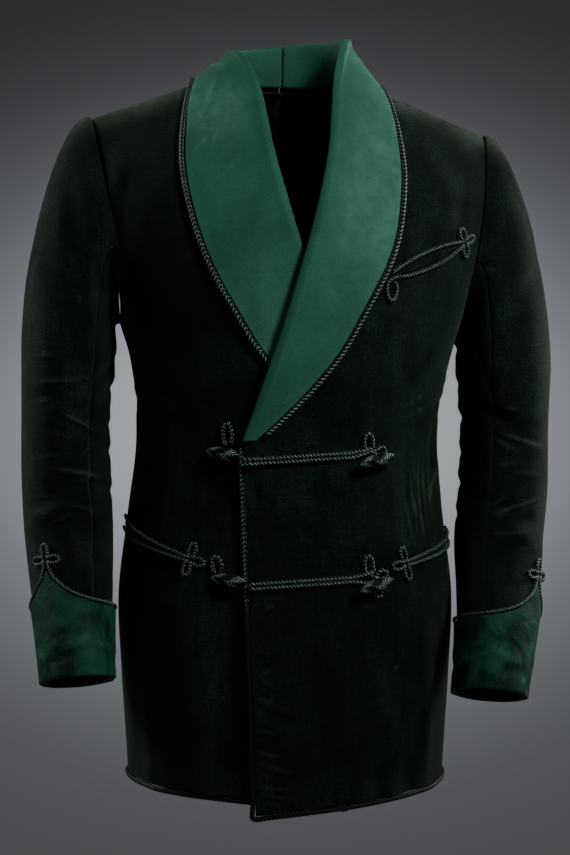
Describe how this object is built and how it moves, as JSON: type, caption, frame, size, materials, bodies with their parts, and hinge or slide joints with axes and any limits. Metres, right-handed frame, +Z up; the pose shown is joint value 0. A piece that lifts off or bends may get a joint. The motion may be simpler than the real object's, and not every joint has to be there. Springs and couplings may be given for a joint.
{
  "type": "smoking jacket",
  "caption": "Double-breasted velvet smoking jacket as it stands when worn: satin shawl collar and cuffs, braided edges, frog fastenings, open neck, cuffs and hem.",
  "frame": {"origin": "middle of the neck's base, level with where the collar meets the shoulder seams, where the wearer's shoulders carry the jacket", "axes": "+Z up, -Y the way the jacket faces, +X to the wearer's left"},
  "size_m": [0.5544, 0.3048, 0.7946],
  "materials": {
    "velvet": "dark green silk velvet, with a soft worn nap",
    "satin": "emerald green silk satin",
    "braid": "dark green braided silk cord"
  },
  "bodies": {
    "root": {"front_left": "velvet", "front_right": "velvet", "back_left": "velvet", "back_right": "velvet", "sleeve_top_left": "velvet", "sleeve_top_right": "velvet", "sleeve_under_left": "velvet", "sleeve_under_right": "velvet", "breast_pocket_welt": "velvet", "hip_pocket_welt_left": "velvet", "hip_pocket_welt_right": "velvet", "collar_left": "satin", "collar_right": "satin", "cuff_left": "satin", "cuff_right": "satin", "collar_cord_left": "braid", "collar_cord_right": "braid", "edge_cord_left": "braid", "edge_cord_right": "braid", "hem_cord_back": "braid", "cuff_cord_left": "braid", "cuff_cord_right": "braid", "breast_pocket_cord": "braid", "hip_pocket_cord_left": "braid", "hip_pocket_cord_right": "braid", "frog_upper": "braid", "frog_lower": "braid", "toggle_left_upper": "braid", "toggle_left_lower": "braid", "toggle_right_upper": "braid", "toggle_right_lower": "braid", "toggle_loop_upper": "braid", "toggle_loop_lower": "braid"}
  },
  "joints": []
}
